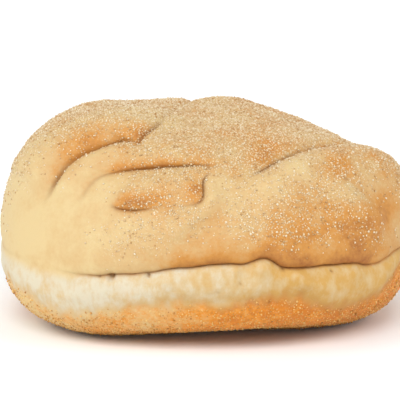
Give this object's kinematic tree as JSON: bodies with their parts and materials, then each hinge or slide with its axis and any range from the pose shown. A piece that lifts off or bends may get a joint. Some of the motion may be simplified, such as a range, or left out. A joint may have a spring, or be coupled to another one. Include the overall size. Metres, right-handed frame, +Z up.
{
  "type": "bread roll",
  "caption": "Crusty folded bread roll: a domed, grit-dusted upper crust with knotted folds over a pale burst band and a flat baked underside.",
  "frame": {"origin": "centre of the roll's outline, on the level of the flat spot that it rests on", "axes": "+X along the roll's length, towards its right-hand lobe; +Y from the folded front to the back; +Z up"},
  "size_m": [0.11, 0.098, 0.057],
  "materials": {
    "crust": "matte"
  },
  "bodies": {
    "root": {"bread_roll": "crust"}
  },
  "joints": []
}
